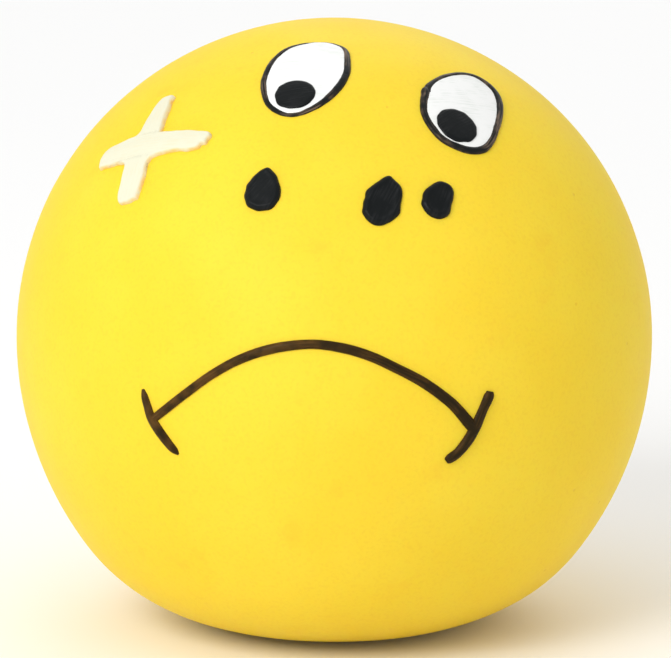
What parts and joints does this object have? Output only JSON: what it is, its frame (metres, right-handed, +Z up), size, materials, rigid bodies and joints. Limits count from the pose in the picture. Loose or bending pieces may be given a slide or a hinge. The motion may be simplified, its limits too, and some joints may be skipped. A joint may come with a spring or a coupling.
{
  "type": "stress ball",
  "caption": "Soft squeezable rubber ball with a flat foot, a fibre filling, a closing plug and a raised painted sad face",
  "frame": {"origin": "centre of the foot, on the surface that the ball stands on", "axes": "+Z up through the crown, the face looks towards -Y, +X to the viewer's right"},
  "size_m": [0.063, 0.0633, 0.0602],
  "materials": {
    "skin_rubber": "satin moulded",
    "plug_rubber": "matte moulded",
    "fibre": "loose polyester fibre",
    "white_enamel": "brushed enamel",
    "black_enamel": "brushed enamel",
    "cream_enamel": "thick brushed enamel"
  },
  "bodies": {
    "ball": {"skin": "skin_rubber", "filling_plug": "plug_rubber", "lower_fibre_wad": "fibre", "left_eye_white": "white_enamel", "left_eye_outline": "black_enamel", "left_pupil": "black_enamel", "right_eye_white": "white_enamel", "right_eye_outline": "black_enamel", "right_pupil": "black_enamel", "cheek_spot": "black_enamel", "nose_spot_left": "black_enamel", "nose_spot_right": "black_enamel", "mouth_line": "black_enamel", "mouth_corner_left": "black_enamel", "mouth_corner_right": "black_enamel", "cross_plaster": "cream_enamel"},
    "crown": {"upper_fibre_wad": "fibre"}
  },
  "joints": [
    {"name": "squeeze", "type": "slide", "parent": "ball", "child": "crown", "axis": [0, 0, -1], "range_m": [0, 0.024], "stiffness_N_per_m": 2000, "deforming": ["skin", "lower_fibre_wad", "left_eye_white", "left_eye_outline", "left_pupil", "right_eye_white", "right_eye_outline", "right_pupil", "cheek_spot", "nose_spot_left", "nose_spot_right", "mouth_line", "mouth_corner_left", "mouth_corner_right", "cross_plaster"]}
  ]
}
